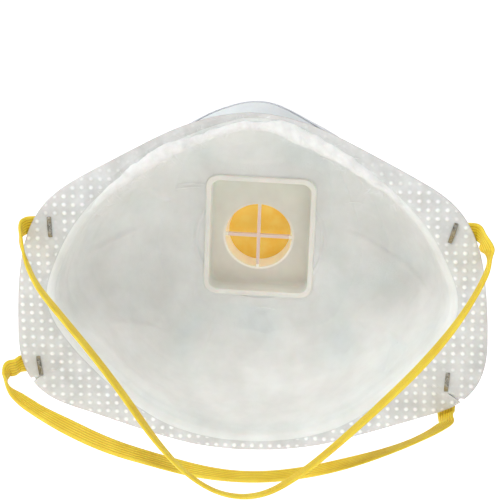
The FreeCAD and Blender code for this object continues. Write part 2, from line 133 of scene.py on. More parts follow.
# Control points of the bands in millimetres: the stapled end at +X, the free loop and the
# stapled end at -X.
UPPER_LEFT_END = [(56.5, -2.2, 16.8), (61.0, -2.2, 16.8), (66.2, -2.2, 16.8),
                  (67.3, -0.2, 16.8)]
UPPER_LOOP = [(67.8, 1.6, 16.8), (67.7, 3.8, 15.4), (66.8, 5.4, 10.6), (63.0, 9.5, 2.5),
              (54.0, 16.0, -5.5), (44.5, 24.0, -13.0), (34.5, 31.0, -23.0),
              (25.5, 36.5, -34.0), (16.0, 40.0, -43.5), (5.5, 42.0, -49.0),
              (-6.0, 42.0, -49.0), (-17.0, 39.5, -42.8), (-28.5, 35.0, -34.0),
              (-40.5, 28.5, -24.5), (-51.5, 20.5, -16.0), (-61.5, 12.5, -6.0),
              (-68.7, 6.8, 5.0), (-70.6, 4.3, 10.8), (-68.6, 3.8, 15.4),
              (-67.8, 1.6, 16.8)]
UPPER_RIGHT_END = [(-67.3, -0.2, 16.8), (-66.2, -2.2, 16.8), (-61.0, -2.2, 16.8),
                   (-56.5, -2.2, 16.8)]
LOWER_LEFT_END = [(61.5, -2.2, -28.0), (65.5, -2.2, -28.0), (70.4, -2.2, -28.0),
                  (71.3, -0.2, -28.0)]
LOWER_LOOP = [(71.8, 1.6, -28.0), (74.0, 2.7, -27.8), (74.6, 5.6, -31.6),
              (67.0, 10.5, -36.0), (56.0, 16.5, -39.2), (41.5, 23.0, -43.0),
              (26.5, 28.0, -45.0), (11.0, 31.0, -47.5), (-4.0, 32.0, -48.0),
              (-19.0, 30.5, -46.5), (-33.0, 26.0, -44.5), (-45.0, 19.5, -43.0),
              (-53.5, 12.5, -42.0), (-58.6, 6.5, -41.2), (-58.8, 2.8, -41.8)]
LOWER_RIGHT_END = [(-58.8, -0.6, -41.8), (-58.8, -2.3, -41.0), (-58.8, -2.2, -35.0),
                   (-58.8, -2.2, -27.5)]
# How far each band is turned edge-on to the view, in degrees, along its loop from +X to -X.
UPPER_LEAN = [(0.0, 88), (0.06, 86), (0.13, 78), (0.3, 77), (0.45, 89), (0.6, 78), (0.8, 74),
              (0.93, 84), (1.0, 88)]
LOWER_LEAN = [(0.0, 84), (0.05, 74), (0.12, 56), (0.22, 38), (0.4, 50), (0.55, 62),
              (0.7, 62), (0.88, 82), (1.0, 68)]

# Folds of the liner seen along the Y axis: start and end (x, z) in millimetres, half width
# of the soft side and height.
LINER_FOLDS = [((-27, 4), (-57, -11), 5.0, 0.7), ((56, -2), (36, 6), 5.0, 0.9),
               ((50, -22), (30, -30), 6.0, 0.9), ((-48, -24), (-28, -26), 6.0, 0.8),
               ((-26, 33), (-40, 27), 2.0, 0.5), ((24, 12), (44, 22), 6.0, 0.6),
               ((-10, -26), (-14, -44), 5.0, 0.5), ((14, -24), (20, -42), 5.0, 0.5)]
# Loose threads on the liner: start, bow and end (x, z) in millimetres.
THREADS = [((26.5, 18.6), (21.0, 19.6), (17.0, 18.4)),
           ((27.0, 17.2), (22.0, 18.0), (19.0, 17.6)),
           ((-28.0, 13.0), (-31.0, 14.2), (-34.0, 13.6)),
           ((1.5, -24.0), (-2.5, -23.4), (-5.5, -24.6))]


# ---------------------------------------------------------------- meshes
def new_piece(name, points, faces, smooth=True):
    mesh = bpy.data.meshes.new(name)
    mesh.from_pydata([tuple(p) for p in points], [], faces)
    mesh.validate()
    if smooth:
        mesh.shade_smooth()
    piece = bpy.data.objects.new(name, mesh)
    bpy.context.scene.collection.objects.link(piece)
    return piece


def closed_rings(name, rings, loop=True):
    """A skin through rings of equal size. With loop, the last ring joins the first; without,
    the end rings are filled."""
    size = len(rings[0])
    points = [p for ring in rings for p in ring]
    faces = []
    spans = len(rings) if loop else len(rings) - 1
    for i in range(spans):
        here, there = i * size, (i + 1) % len(rings) * size
        for j in range(size):
            k = (j + 1) % size
            faces.append((here + j, here + k, there + k, there + j))
    if not loop:
        faces.append(tuple(reversed(range(size))))
        faces.append(tuple(range(len(points) - size, len(points))))
    return new_piece(name, points, faces)


def paint(piece, name, values):
    """A value per vertex that a material reads."""
    layer = piece.data.attributes.new(name, "FLOAT", "POINT")
    layer.data.foreach_set("value", values)


def smoothstep(low, high, x):
    t = min(max((x - low) / (high - low), 0.0), 1.0)
    return t * t * (3 - 2 * t)


def along_keys(keys, t):
    """A smooth value between (place, value) keys."""
    for (t0, v0), (t1, v1) in zip(keys, keys[1:]):
        if t <= t1:
            return v0 + (v1 - v0) * smoothstep(t0, t1, t)
    return keys[-1][1]


# ---------------------------------------------------------------- the cup's surface, from the CAD
def tree_of(node):
    mesh = NODES[node].data
    return BVHTree.FromPolygons([v.co for v in mesh.vertices],
                                [tuple(p.vertices) for p in mesh.polygons])


LINER, SHELL, COVER = (tree_of(n) for n in ("inner_liner", "stiffening_shell", "outer_cover"))
CENTRE = Vector((0, -7 * MM, 0))          # every point of the cup's inside is seen from here
FAR = 0.2
FACE_SIDE, FRONT_SIDE = 1, -1


def outward(angle):
    """Unit vector out of the Y axis at an angle from +X."""
    return Vector((math.cos(angle), 0, math.sin(angle)))


def even_angles(count):
    return [TURN * i / count for i in range(count)]


def flange_hit(tree, side, angle, radius):
    """Where a line along Y meets a layer, from the face side or from the front."""
    start = Vector((radius * math.cos(angle), side * FAR, radius * math.sin(angle)))
    return tree.ray_cast(start, Vector((0, -side, 0)))[0]


def flange_point(tree, side, angle, radius):
    """A point of the flange; past its edge it stays level with the edge."""
    for short in range(12):
        hit = flange_hit(tree, side, angle, radius - short * 0.15 * MM)
        if hit:
            return Vector((radius * math.cos(angle), hit.y, radius * math.sin(angle)))
    raise ValueError("no flange at this angle")


def cup_hit(tree, side, angle, tilt):
    """Where a line through the centre meets a layer. Tilt is measured from the -Y axis."""
    way = Vector((math.sin(tilt) * math.cos(angle), -math.cos(tilt),
                  math.sin(tilt) * math.sin(angle)))
    if side == FACE_SIDE:
        return tree.ray_cast(CENTRE, way)[0]
    return tree.ray_cast(CENTRE + way * FAR, -way, FAR)[0]


def bisect(low, high, inside):
    """The last value from low towards high for which inside(value) holds."""
    for _ in range(22):
        middle = (low + high) / 2
        if inside(middle):
            low = middle
        else:
            high = middle
    return low


def angle_table(measure, count=720):
    """A periodic function of the angle, from a measurement at even steps."""
    values = [measure(angle) for angle in even_angles(count)]

    def read(angle):
        place = angle / TURN % 1.0 * count
        i = int(place)
        return values[i % count] + (values[(i + 1) % count] - values[i % count]) * (place - i)
    return read


def measure_rim(angle):
    return bisect(0.03, 0.09, lambda r: flange_hit(SHELL, FACE_SIDE, angle, r) is not None)


rim_radius = angle_table(measure_rim)


def measure_mouth(angle):
    """Where the flange has turned down into the cup."""
    rim = rim_radius(angle)
    level = flange_hit(SHELL, FACE_SIDE, angle, rim - 0.5 * MM).y

    def on_flange(r):
        return flange_point(SHELL, FACE_SIDE, angle, r).y > level - MOUTH_DROP
    return bisect(rim - 0.5 * MM, 0.6 * rim, on_flange)


mouth_radius = angle_table(measure_mouth)


def measure_hole(angle):
    """The tilt at which a line from the centre just meets the edge of the valve's hole."""
    return bisect(math.radians(60), 0.0,
                  lambda tilt: cup_hit(LINER, FACE_SIDE, angle, tilt) is not None)


hole_tilt = angle_table(measure_hole)


def fold_place(angle):
    """The radius where the flat flange ends and turns into the cup."""
    return mouth_radius(angle) + FOLD_OUT


def fold_point(angle, turn):
    """A point of the shell's face side round the fold: turn 0 on the flange, 1 on the wall."""
    mouth, rim = mouth_radius(angle), rim_radius(angle)
    level = flange_hit(SHELL, FACE_SIDE, angle, rim - 0.5 * MM).y
    out = outward(angle)
    watch = out * (mouth - FOLD_WATCH) + Vector((0, level + FOLD_WATCH, 0))
    first = math.atan2(FOLD_WATCH, min(EDGE_REACH, rim - mouth - 0.7 * MM) + FOLD_WATCH)
    down = first + (math.radians(70) - first) * turn
    way = out * math.cos(down) - Vector((0, math.sin(down), 0))
    return watch, SHELL.ray_cast(watch, way)[0]


def cup_point(tree, side, angle, tilt):
    """A point of the cup; where a line just misses an edge, the nearest that meets it."""
    for miss in range(12):
        for nudge in (miss, -miss):
            hit = cup_hit(tree, side, angle, tilt + nudge * 0.001)
            if hit:
                return hit
    raise ValueError("no cup at this angle")


SIDE_EDGE = rim_radius(0.0) - 0.8 * MM
FLANGE_THICK = (flange_point(SHELL, FACE_SIDE, 0.0, SIDE_EDGE).y
                - flange_point(COVER, FRONT_SIDE, 0.0, SIDE_EDGE).y)


def corner_point(angle, turn):
    """A point of the cover's front: turn 0 on the cup's wall, 1 at the edge of the flange.
    Returns the way into the cover too."""
    mouth, rim = mouth_radius(angle), rim_radius(angle)
    level = flange_point(SHELL, FACE_SIDE, angle, rim - 0.8 * MM).y - FLANGE_THICK
    out = outward(angle)
    aside, ahead = CORNER_WATCH
    watch = out * (mouth + aside) + Vector((0, level - ahead, 0))
    last = math.atan2(ahead, rim - 0.3 * MM - mouth - aside)
    heading = math.pi + (last - math.pi) * turn
    way = out * math.cos(heading) + Vector((0, math.sin(heading), 0))
    for miss in range(40):
        near = heading + miss * 0.006
        probe = out * math.cos(near) + Vector((0, math.sin(near), 0))
        reach = COVER.ray_cast(watch, probe)[3]
        if reach:
            return way, watch + way * reach
    raise ValueError("no cover at this angle")


def tilt_of(point):
    way = point - CENTRE
    return math.atan2(math.hypot(way.x, way.z), -way.y)


wall_start = angle_table(lambda angle: tilt_of(fold_point(angle, 1.0)[1]))
wall_end = angle_table(lambda angle: tilt_of(corner_point(angle, 0.0)[1]))


def wave(point, size, amount):
    """Soft irregular height with features of about the given size."""
    return noise.noise(point / size) * amount


# ---------------------------------------------------------------- webs of the cup
STAPLES = ["staple_upper_left", "staple_upper_right", "staple_lower_left", "staple_lower_right"]
STAPLE_MIDDLES = [sum(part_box(node), Vector()) / 2 for node in STAPLES]


def dot_at(x, z, margin):
    """How far a point of the flange is up a bonding dot, from 0 to 1."""
    column, row = round(x / DOT_PITCH[0]), round(z / DOT_PITCH[1])
    centre_x, centre_z = column * DOT_PITCH[0], row * DOT_PITCH[1]
    shift = noise.noise_vector(Vector((column * 3.7, row * 5.3, 1.0)))
    away = math.hypot(x - centre_x - DOT_STRAY * shift.x, z - centre_z - DOT_STRAY * shift.y)
    if away > DOT_RADIUS:
        return 0.0
    strength = 1 - 0.75 * smoothstep(*NOSE_FADE, centre_z)
    near = min(math.hypot(centre_x - m.x, 0.6 * (centre_z - m.z)) for m in STAPLE_MIDDLES)
    strength *= 0.2 + 0.8 * smoothstep(*STAPLE_FADE, near)
    strength *= smoothstep(0.0, 0.9 * MM, margin) * (0.85 + 0.3 * shift.z)
    return strength * (1 - (away / DOT_RADIUS) ** 2)


def flange_wave(x, z):
    """The flange isn't quite flat: soft waves of two sizes."""
    return wave(Vector((x, 0, z)), 11 * MM, 0.30 * MM) + wave(Vector((x, 9, z)), 4 * MM, 0.08 * MM)


def flange_web():
    """The stiffening web: the dotted flange, its cut edge and its wall inside the cup."""
    angles = even_angles(FLANGE_ANGLES)
    rings, dots = [], []
    lift = [smoothstep(0, 0.25, i / (FLANGE_RINGS - 1)) for i in range(FLANGE_RINGS)]
    for i in range(FLANGE_RINGS):
        ring = []
        for angle in angles:
            inner, outer = fold_place(angle) - 0.9 * MM, rim_radius(angle) - 0.02 * MM
            radius = inner + (outer - inner) * i / (FLANGE_RINGS - 1)
            point = flange_point(SHELL, FACE_SIDE, angle, radius)
            dot = dot_at(point.x, point.z, outer - radius) * smoothstep(0, 0.06, i / FLANGE_RINGS)
            point.y += dot * DOT_HEIGHT + flange_wave(point.x, point.z) * lift[i]
            ring.append(point)
            dots.append(dot)
        rings.append(ring)
    back = [[p + Vector((0, -FLANGE_WEB_THICK, 0)) for p in ring] for ring in rings[::-5]]
    wall_front, wall_back = [], []
    for step in range(1, WALL_RINGS + 1):
        tilt_part = step / WALL_RINGS
        front, rear = [], []
        for angle in angles:
            tilt = FOLD_TILT + (hole_tilt(angle) - FOLD_TILT) * tilt_part
            front.append(cup_point(SHELL, FACE_SIDE, angle, tilt + 0.002))
            rear.append(cup_point(SHELL, FRONT_SIDE, angle, tilt + 0.002))
        wall_front.append(front)
        wall_back.append(rear)
    loop = wall_front[::-1] + rings + back + wall_back
    piece = closed_rings("bonded_flange", loop)
    size = FLANGE_ANGLES
    values = [0.0] * (len(loop) * size)
    start = len(wall_front) * size
    values[start:start + len(dots)] = dots
    paint(piece, "dot", values)
    return piece


def fold_height(x, z, start, end, soft, height):
    """One fold: a ridge from start to end that falls quickly on one side and slowly on the
    other."""
    ax, az, bx, bz = (v * MM for v in (*start, *end))
    along = Vector((bx - ax, bz - az))
    length = along.length
    along /= length
    dx, dz = x - ax, z - az
    run = (dx * along.x + dz * along.y) / length
    aside = dz * along.x - dx * along.y
    aside += wave(Vector((x, 3, z)), 9 * MM, 1.2 * MM)
    ends = smoothstep(-0.12, 0.3, run) * (1 - smoothstep(0.75, 1.1, run))
    reach = soft * MM if aside > 0 else soft * 0.28 * MM
    return ends * height * MM * max(0.0, 1 - abs(aside) / reach) ** 1.6


def liner_height(point, part):
    """How far the soft liner stands into the cup, from the fold (part 0) to the valve (1)."""
    free = smoothstep(0.0, 0.10, part) * (1 - smoothstep(0.86, 0.97, part))
    puff = 0.5 * MM + wave(point, 17 * MM, 1.25 * MM) + wave(point, 6.5 * MM, 0.34 * MM)
    height = free * puff + wave(point, 2.2 * MM, 0.05 * MM)
    height += PILE_UP * smoothstep(0.88, 1.0, part)
    for fold in LINER_FOLDS:
        height += free * fold_height(point.x, point.z, *fold)
    middle, half, ridge = WELD_RING
    away = abs(math.hypot(point.x, point.z) - middle) / half
    return height + ridge * max(0.0, 1 - away * away) * smoothstep(0.8, 0.95, part)


def inner_liner():
    """The soft inner web: bonded to the flange round the fold, down to the valve's tray."""
    angles = even_angles(LINER_ANGLES)
    fold_front, fold_back, front, back = [], [], [], []
    for i in range(FOLD_RINGS):
        turn = i / (FOLD_RINGS - 1)
        lift = (0.62 * smoothstep(0.0, 0.5, turn) - 0.30) * MM
        ring, rear = [], []
        for angle in angles:
            ragged = noise.noise(Vector((math.cos(angle), math.sin(angle), 0)) * 9) * 0.10
            watch, point = fold_point(angle, min(max(turn + ragged * (1 - turn), 0.0), 1.0))
            inward = (watch - point).normalized()
            soft = lift + wave(point, 5 * MM, 0.22 * MM) * turn
            ring.append(point + inward * (soft + 0.02 * MM))
            rear.append(point - inward * 0.34 * MM * (1 - smoothstep(0.5, 1.0, turn)))
        fold_front.append(ring)
        fold_back.append(rear)
    for i in range(1, LINER_RINGS):
        part = i / (LINER_RINGS - 1)
        ring, rear = [], []
        for angle in angles:
            last = hole_tilt(angle) + math.radians(0.3)
            start = wall_start(angle)
            point = cup_point(LINER, FACE_SIDE, angle, start + (last - start) * part ** 0.9)
            inward = (CENTRE - point).normalized()
            ring.append(point + inward * liner_height(point, part))
            rear.append(point - inward * LINER_BACK)
        front.append(ring)
        back.append(rear)
    skirt = [p - outward(a) * SKIRT for a, p in zip(angles, front[-1])]
    rear_rings = back[::-6] + fold_back[::-3]
    return closed_rings("inner_liner_web", fold_front + front + [skirt] + rear_rings)


def outer_cover():
    """The smooth outer web: the dome seen from the front and its dotted flange."""
    angles = even_angles(COVER_ANGLES)
    front, back, dots = [], [], []
    for step in range(DOME_RINGS):
        part = step / DOME_RINGS
        skin, rear = [], []
        for angle in angles:
            first = hole_tilt(angle) + 0.004
            tilt = first + (wall_end(angle) - first) * part
            point = cup_point(COVER, FRONT_SIDE, angle, tilt)
            out = (point - CENTRE).normalized()
            soft = wave(point, 14 * MM, 0.25 * MM) + wave(point, 3 * MM, 0.05 * MM)
            skin.append(point + out * soft * smoothstep(0, 0.15, part))
            rear.append(point - out * COVER_BACK)
        front.append(skin)
        back.append(rear)
        dots += [0.0] * COVER_ANGLES
    for step in range(CORNER_RINGS):
        turn = step / (CORNER_RINGS - 1)
        skin, rear = [], []
        for angle in angles:
            way, point = corner_point(angle, turn)
            rear.append(point + way * 0.22 * MM)
            radius = math.hypot(point.x, point.z)
            flat = smoothstep(0.3 * MM, 1.5 * MM, radius - fold_place(angle))
            dot = dot_at(point.x, point.z, rim_radius(angle) - radius) * flat
            dots.append(dot)
            height = 0.5 * dot * DOT_HEIGHT - 0.5 * flange_wave(point.x, point.z) * flat
            soft = (1 - flat) * wave(point, 14 * MM, 0.25 * MM)
            skin.append(point - way * (height + soft))
        front.append(skin)
        back.append(rear)
    piece = closed_rings("outer_cover_web", front + back[::-1])
    paint(piece, "dot", dots + [0.0] * len(dots))
    return piece


# ---------------------------------------------------------------- small soft and metal pieces
def nose_foam():
    """The soft roll of foam and fibres along the fold, over the nose and both cheeks."""
    rings = []
    count, around = 260, 20
    for i in range(count + 1):
        part = i / count
        angle = ROLL_FROM + (ROLL_TO - ROLL_FROM) * part
        ends = math.sin(math.pi * min(max(part, 0.0), 1.0)) ** 0.45 + 0.02
        flat = smoothstep(ROLL_GAP[0] - 0.1, ROLL_GAP[0] + 0.05, angle)
        flat *= 1 - smoothstep(ROLL_GAP[1] - 0.05, ROLL_GAP[1] + 0.1, angle)
        size = ROLL_RADIUS * ends * (1 - 0.45 * flat)
        middle_radius = mouth_radius(angle) + (0.2 - 1.4 * flat) * MM
        base = flange_point(SHELL, FACE_SIDE, angle, rim_radius(angle) - 1 * MM).y
        drift = wave(Vector((angle * 30, 0, 0)) * MM, 3.1 * MM, 0.5 * MM)
        out = outward(angle)
        middle = out * (middle_radius + drift) + Vector((0, base - 1.1 * MM, 0))
        ring = []
        for k in range(around):
            turn = TURN * k / around
            point = middle + out * math.cos(turn) * size * ROLL_WIDEN
            point += Vector((0, math.sin(turn), 0)) * size
            lump = wave(point, 2.6 * MM, 0.55 * MM) + wave(point, 1.0 * MM, 0.16 * MM)
            ring.append(point + (point - middle).normalized() * lump * ends)
        rings.append(ring)
    return closed_rings("nose_foam_roll", rings, loop=False)


def strand(points, radius, sides=5):
    """Rings of a thin round strand along points."""
    rings = []
    for i, point in enumerate(points):
        way = points[min(i + 1, len(points) - 1)] - points[max(i - 1, 0)]
        side = way.cross(Vector((0.31, 0.83, 0.46))).normalized()
        other = way.cross(side).normalized()
        taper = radius * (0.35 + 0.65 * math.sin(math.pi * (i + 0.5) / len(points)))
        rings.append([point + (side * math.cos(TURN * k / sides)
                               + other * math.sin(TURN * k / sides)) * taper
                      for k in range(sides)])
    return rings


def on_liner(x, z, lift):
    """A point a little above the liner at (x, z), found along the Y axis."""
    hit = LINER.ray_cast(Vector((x, FAR, z)), Vector((0, -1, 0)))[0]
    point = hit or Vector((x, -38 * MM, z))
    return point + (CENTRE - point).normalized() * lift


def merged(name, bundles):
    """One mesh from several closed strands."""
    points, faces = [], []
    for rings in bundles:
        first, size = len(points), len(rings[0])
        points += [p for ring in rings for p in ring]
        for i in range(len(rings) - 1):
            for k in range(size):
                a, b = first + i * size + k, first + i * size + (k + 1) % size
                faces.append((a, b, b + size, a + size))
        faces.append(tuple(reversed(range(first, first + size))))
        faces.append(tuple(range(len(points) - size, len(points))))
    return new_piece(name, points, faces)


def loose_fibres():
    """Fine fibres that stand out of the roll, and a few threads lying on the liner."""
    bundles = []
    for _ in range(FIBRES):
        angle = random.uniform(ROLL_FROM, ROLL_TO)
        base_y = flange_point(SHELL, FACE_SIDE, angle, rim_radius(angle) - 1 * MM).y
        radius = mouth_radius(angle) + random.uniform(-2.6, 1.6) * MM
        point = Vector((radius * math.cos(angle), base_y + random.uniform(-1.2, 0.6) * MM,
                        radius * math.sin(angle)))
        way = Vector((random.gauss(0, 1), random.gauss(0.2, 0.6), random.gauss(0, 1))).normalized()
        bend = Vector((random.gauss(0, 1), random.gauss(0, 1), random.gauss(0, 1))) * 0.25
        length = random.uniform(1.2, 3.2) * MM
        line = [point + (way + bend * t) * length * t for t in (0, 0.25, 0.5, 0.75, 1.0)]
        bundles.append(strand(line, random.uniform(0.03, 0.06) * MM, 4))
    for (x0, z0), (x1, z1), (x2, z2) in THREADS:
        line = []
        for i in range(13):
            t = i / 12
            x = (1 - t) ** 2 * x0 + 2 * t * (1 - t) * x1 + t * t * x2
            z = (1 - t) ** 2 * z0 + 2 * t * (1 - t) * z1 + t * t * z2
            line.append(on_liner(x * MM, z * MM, THREAD_LIFT))
        bundles.append(strand(line, THREAD_RADIUS, 6))
    return merged("liner_fibres", bundles)


def rounded_section(width, thick, corner, steps=4):
    """Outline of a flat bar, centred, as (across, through) pairs."""
    outline = []
    for cx, cy, start in ((1, 1, 0), (-1, 1, 1), (-1, -1, 2), (1, -1, 3)):
        for k in range(steps + 1):
            turn = (start + k / steps) * math.pi / 2
            outline.append((cx * (width / 2 - corner) + corner * math.cos(turn),
                            cy * (thick / 2 - corner) + corner * math.sin(turn)))
    return outline


def ribbed_section():
    """Outline of a headband: flat, with rounded edges and ribs along both faces."""
    steps = BAND_RIBS * 6
    outline = []
    for face in (1, -1):
        for k in range(steps + 1):
            across = face * (0.5 - k / steps) * (BAND_WIDTH - BAND_THICK * 0.7)
            rib = abs(math.sin(math.pi * BAND_RIBS * k / steps))
            outline.append((across, face * (BAND_THICK / 2 - RIB_DEPTH + RIB_DEPTH * rib ** 0.6)))
        for turn in (-0.8, 0.0, 0.8):
            edge = BAND_WIDTH / 2 - BAND_THICK * 0.35
            outline.append((-face * (edge + BAND_THICK * 0.35 * math.cos(turn)),
                            -face * BAND_THICK * 0.42 * math.sin(turn)))
    return outline


def groove_shade_at(across, through):
    """How deep in a groove between the ribs a point of the band's outline lies, 0 to 1; the band's
    colour gets painted shade by this much.
    """
    deep = (BAND_THICK / 2 - abs(through)) / RIB_DEPTH
    return smoothstep(0.2, 1.0, deep) if abs(across) < BAND_WIDTH / 2 - BAND_THICK * 0.4 else 0.0


def swept(name, line, across_at, section):
    """A bar along a line. across_at gives the direction of its width at each of its points."""
    rings = []
    for i, point in enumerate(line):
        way = (line[min(i + 1, len(line) - 1)] - line[max(i - 1, 0)]).normalized()
        across = across_at(i, way)
        across = (across - way * across.dot(way)).normalized()
        through = way.cross(across)
        rings.append([point + across * a + through * b for a, b in section])
    return closed_rings(name, rings, loop=False)


def staple(node, lean):
    """A flattened wire through the flange: crown on the face side, ends bent under in front."""
    low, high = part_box(node)
    middle, half = (low + high) / 2, (high.z - low.z) / 2 - 0.3 * MM
    crown, foot = high.y - 0.22 * MM, low.y + 0.25 * MM
    corner = STAPLE_CORNER
    line = [Vector((0, foot + 0.25 * MM, half - STAPLE_INWARD)), Vector((0, foot, half - corner))]
    for k in range(5):
        turn = k / 4 * math.pi / 2
        line.append(Vector((0, foot + corner * (1 - math.cos(turn)),
                            half - corner + corner * math.sin(turn))))
    for k in range(5):
        turn = k / 4 * math.pi / 2
        line.append(Vector((0, crown - corner * (1 - math.sin(turn)),
                            half - corner + corner * math.cos(turn))))
    other = [Vector((p.x, p.y, -p.z)) for p in reversed(line)]
    span = [Vector((0, crown + 0.06 * MM * math.cos(t), half * -0.25 * t)) for t in range(-2, 3)]
    line = line + span + other
    turned = Matrix.Rotation(lean, 3, "Y")
    line = [turned @ p + Vector((middle.x, 0, middle.z)) for p in line]
    sideways = turned @ Vector((1, 0, 0))
    return swept(node + "_wire", line, lambda i, way: sideways, rounded_section(*STAPLE_SECTION))


# ---------------------------------------------------------------- headbands
def route_line(points):
    """Points along the smooth NURBS line of a route given in millimetres."""
    curve = bpy.data.curves.new("route", "CURVE")
    curve.dimensions = "3D"
    curve.resolution_u = 14
    spline = curve.splines.new("NURBS")
    spline.points.add(len(points) - 1)
    for target, point in zip(spline.points, points):
        target.co = (*(c * MM for c in point), 1.0)
    spline.order_u = 3
    spline.use_endpoint_u = True
    holder = bpy.data.objects.new("route", curve)
    mesh = bpy.data.meshes.new_from_object(holder)
    line = [v.co.copy() for v in mesh.vertices]
    bpy.data.objects.remove(holder)
    bpy.data.curves.remove(curve)
    bpy.data.meshes.remove(mesh)
    return line


def view_back():
    """Unit vector from the object to the camera."""
    return Vector((math.sin(CAMERA_AZIMUTH) * math.cos(CAMERA_ELEVATION),
                   -math.cos(CAMERA_AZIMUTH) * math.cos(CAMERA_ELEVATION),
                   math.sin(CAMERA_ELEVATION)))


def headband(name, start, loop, end, end_across, lean, early, nodes):
    """A flat ribbed band: stapled ends in front of the flange and a free loop behind it. Its
    last end begins to twist by early metres before the loop."""
    line = route_line(start + loop + end)
    places = [0.0]
    for a, b in zip(line, line[1:]):
        places.append(places[-1] + (b - a).length)
    total = places[-1]
    head = sum((Vector(b) - Vector(a)).length for a, b in zip(start, start[1:])) * MM / total
    tail = sum((Vector(b) - Vector(a)).length for a, b in zip(end, end[1:])) * MM / total
    back = view_back()
    turn_over = BAND_TWIST / total

    def across_at(i, way):
        place = places[i] / total
        inside = min(max((place - head) / (1 - head - tail), 0.0), 1.0)
        flat = way.cross(back)
        flat = flat.normalized() if flat.length > 1e-3 else Vector((0, 0, 1))
        edge_on = (back - way * back.dot(way)).normalized()
        turn = math.radians(along_keys(lean, inside))
        free = flat * math.cos(turn) + edge_on * math.sin(turn)
        held = 1 - smoothstep(head + 0.3 * turn_over, head + 1.6 * turn_over, place)
        late = place - early / total
        tail_held = smoothstep(1 - tail - 1.6 * turn_over, 1 - tail - 0.3 * turn_over, late)
        for hold, across in ((held, end_across[0]), (tail_held, end_across[1])):
            across = Vector(across)
            if across.dot(free) < 0:
                across = -across
            free = free * (1 - hold) + across * hold
        return free

    section = ribbed_section()
    piece = swept(name, line, across_at, section)
    # painted shade: each point of the outline gets a groove value that darkens the band's colour
    # between the ribs
    paint(piece, "groove", [groove_shade_at(*corner) for corner in section] * len(line))
    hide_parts(*nodes)
    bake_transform(piece)
    print(name, "length", round(total, 4))
    return piece


# ---------------------------------------------------------------- valve and nose clip
def valve_flap():
    """One thin rubber sheet: its clamped upper edge and the free part that opens."""
    low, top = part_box("valve_flap")
    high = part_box("valve_flap_root")[1]
    back, thick = top.y, top.y - low.y
    half_x, middle_z, half_z = high.x, (low.z + high.z) / 2, (high.z - low.z) / 2
    columns, rows = FLAP_GRID
    raised, inner, outer = FLAP_BUTTON
    layers = []
    for side in (0, 1):
        layer = []
        for j in range(rows + 1):
            for i in range(columns + 1):
                u, v = 2 * i / columns - 1, 2 * j / rows - 1
                corner = 0.10 * max(0.0, abs(u) - 0.8) / 0.2 * max(0.0, abs(v) - 0.8) / 0.2
                x, z = u * half_x * (1 - corner), middle_z + v * half_z * (1 - corner)
                button = raised * (1 - smoothstep(inner, outer, math.hypot(x, z)))
                depth = back - side * (thick + button)
                layer.append(Vector((x, depth, z)))
        layers.append(layer)
    size = (rows + 1) * (columns + 1)
    points = layers[0] + layers[1]
    faces = []
    for j in range(rows):
        for i in range(columns):
            a = j * (columns + 1) + i
            quad = (a, a + 1, a + columns + 2, a + columns + 1)
            faces.append(quad)
            faces.append(tuple(size + k for k in reversed(quad)))
    border = list(range(columns + 1)) + [j * (columns + 1) + columns for j in range(1, rows + 1)]
    border += [rows * (columns + 1) + i for i in range(columns - 1, -1, -1)]
    border += [j * (columns + 1) for j in range(rows - 1, 0, -1)]
    for a, b in zip(border, border[1:] + border[:1]):
        faces.append((b, a, size + a, size + b))
    piece = new_piece("valve_flap_sheet", points, faces)
    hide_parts("valve_flap", "valve_flap_root")
    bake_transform(piece)
    return piece


def nose_strip(node, width, thick, corner, lift):
    """A soft strip with rounded edges and ends, bent over the nose."""
    tree = tree_of(node)
    last = bisect(UP, 0.0, lambda a: clip_tilts(tree, a) is not None)
    rings = []
    count = 90
    for i in range(count + 1):
        part = i / count
        angle = last + (math.pi - 2 * last) * part
        first, final = clip_tilts(tree, min(max(angle, last + 0.004), math.pi - last - 0.004))
        rounding = min(part, 1 - part) * count / 3
        narrow = math.sqrt(max(0.0, 1 - max(0.0, 1 - rounding) ** 2)) * 0.98 + 0.02
        middle, half = (first + final) / 2, (final - first) / 2 * narrow
        ring = []
        for across, through in rounded_section(width, thick, corner):
            skin = cup_point(COVER, FRONT_SIDE, angle, middle - CLIP_DROP + half * across)
            out = (skin - CENTRE).normalized()
            dent = wave(skin, 7 * MM, 0.12 * MM)
            ring.append(skin + out * ((lift + through) * MM + dent))
        rings.append(ring)
    return closed_rings(node + "_strip", rings, loop=False)


def clip_tilts(tree, angle):
    """The first and last tilt at which lines through the centre meet the clip."""
    steps = [math.radians(t * 0.25) for t in range(200, 372)]
    found = [t for t in steps if cup_hit(tree, FRONT_SIDE, angle, t)]
    return (found[0], found[-1]) if found else None


# ---------------------------------------------------------------- materials
def srgb(red, green, blue):
    """A colour given as 0 to 255 display values."""
    def linear(v):
        v /= 255
        return v / 12.92 if v <= 0.04045 else ((v + 0.055) / 1.055) ** 2.4
    return (linear(red), linear(green), linear(blue), 1.0)


